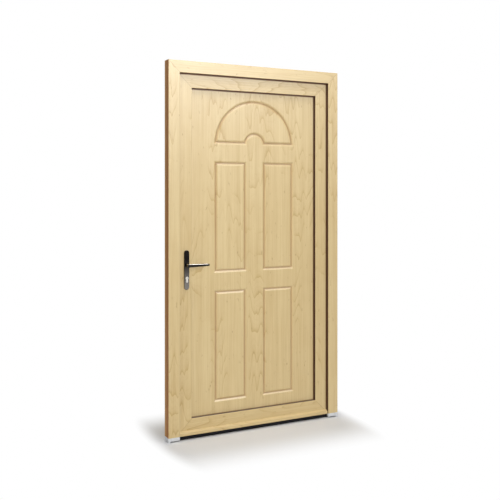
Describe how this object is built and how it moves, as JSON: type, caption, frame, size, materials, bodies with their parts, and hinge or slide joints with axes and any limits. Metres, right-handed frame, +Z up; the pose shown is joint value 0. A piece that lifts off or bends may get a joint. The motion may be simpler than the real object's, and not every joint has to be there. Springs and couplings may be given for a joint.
{
  "type": "front door in its frame",
  "caption": "Plastic front door in wood-look foil, hung in its frame: moulded panel with a fan over rectangles, lever handle, weather bar and low threshold.",
  "frame": {"origin": "on the floor, midway between the jambs and midway through the frame's depth", "axes": "+X to the right seen from outside, +Y into the house, +Z up"},
  "size_m": [1.1, 0.171, 2.1],
  "materials": {
    "maple_foil": "light maple foil on plastic profile, satin",
    "panel_foil": "light maple foil on the moulded panel skin, satin",
    "galvanised": "galvanised",
    "lock_steel": "zinc plated",
    "seal": "matt",
    "threshold_black": "black anodised",
    "end_block": "matt moulded",
    "foam": "extruded foam board",
    "handle_chrome": "dark polished chrome",
    "cylinder_nickel": "nickel plated brass",
    "hinge_paint": "satin lacquer"
  },
  "bodies": {
    "frame": {"frame_jamb_lock": "maple_foil", "frame_jamb_hinge": "maple_foil", "frame_head": "maple_foil", "jamb_steel_lock": "galvanised", "jamb_steel_hinge": "galvanised", "head_steel": "galvanised", "frame_seal": "seal", "end_block_lock": "end_block", "end_block_hinge": "end_block", "threshold": "threshold_black", "main_keep": "lock_steel", "hook_keep_lower": "lock_steel", "hook_keep_upper": "lock_steel", "hinge_lower_frame": "hinge_paint", "hinge_middle_frame": "hinge_paint", "hinge_upper_frame": "hinge_paint", "hinge_pins": "lock_steel", "frame_screws": "lock_steel"},
    "leaf": {"stile_lock": "maple_foil", "stile_hinge": "maple_foil", "rail_top": "maple_foil", "rail_bottom": "maple_foil", "stile_steel_lock": "galvanised", "stile_steel_hinge": "galvanised", "rail_steel_top": "galvanised", "rail_steel_bottom": "galvanised", "leaf_seal": "seal", "bottom_seal": "seal", "weather_bar": "maple_foil", "panel_outer_skin": "panel_foil", "panel_core": "foam", "panel_inner_skin": "panel_foil", "panel_packers": "end_block", "panel_seal_outer": "seal", "panel_seal_inner": "seal", "bead_lock": "maple_foil", "bead_top": "maple_foil", "bead_hinge": "maple_foil", "bead_bottom": "maple_foil", "hinge_lower_leaf": "hinge_paint", "hinge_middle_leaf": "hinge_paint", "hinge_upper_leaf": "hinge_paint", "lock_faceplate": "lock_steel", "lock_case": "lock_steel", "hook_case_lower": "lock_steel", "hook_case_upper": "lock_steel", "plate_outer": "handle_chrome", "plate_inner": "handle_chrome", "cylinder_body": "cylinder_nickel", "leaf_screws": "lock_steel", "plate_screws": "lock_steel"},
    "handle": {"lever_outer": "handle_chrome", "lever_inner": "handle_chrome", "spindle": "lock_steel", "lock_follower": "lock_steel"},
    "latch": {"latch_bolt": "lock_steel"},
    "deadbolt": {"deadbolt": "lock_steel"},
    "hook_lower": {"hook_lower": "lock_steel"},
    "hook_upper": {"hook_upper": "lock_steel"},
    "key_plug": {"cylinder_plug": "cylinder_nickel"}
  },
  "joints": [
    {"name": "leaf_swing", "type": "hinge", "parent": "frame", "child": "leaf", "pos_m": [0.523, 0.042, 0], "axis": [0, 0, -1], "range_deg": [0, 105]},
    {"name": "handle_turn", "type": "hinge", "parent": "leaf", "child": "handle", "pos_m": [-0.437, 0.021, 0.968], "axis": [0, 1, 0], "range_deg": [0, 38], "stiffness_Nm_per_rad": 1.2, "springref_deg": -34.38},
    {"name": "latch_slide", "type": "slide", "parent": "leaf", "child": "latch", "axis": [1, 0, 0], "range_m": [0, 0.01]},
    {"name": "key_turn", "type": "hinge", "parent": "leaf", "child": "key_plug", "pos_m": [-0.437, 0.021, 0.896], "axis": [0, -1, 0], "range_deg": [0, 360]},
    {"name": "deadbolt_slide", "type": "slide", "parent": "leaf", "child": "deadbolt", "axis": [-1, 0, 0], "range_m": [0, 0.02]},
    {"name": "hook_lower_turn", "type": "hinge", "parent": "leaf", "child": "hook_lower", "pos_m": [-0.482, 0.0205, 0.33], "axis": [0, -1, 0], "range_deg": [0, 90]},
    {"name": "hook_upper_turn", "type": "hinge", "parent": "leaf", "child": "hook_upper", "pos_m": [-0.482, 0.0205, 1.6], "axis": [0, -1, 0], "range_deg": [0, 90]}
  ],
  "couplings": [
    {"joint": "latch_slide", "follows": "handle_turn", "m_per_rad": 0.015},
    {"joint": "key_turn", "follows": "deadbolt_slide", "rad_per_m": 314.1},
    {"joint": "hook_lower_turn", "follows": "deadbolt_slide", "rad_per_m": 78.5},
    {"joint": "hook_upper_turn", "follows": "deadbolt_slide", "rad_per_m": 78.5}
  ]
}
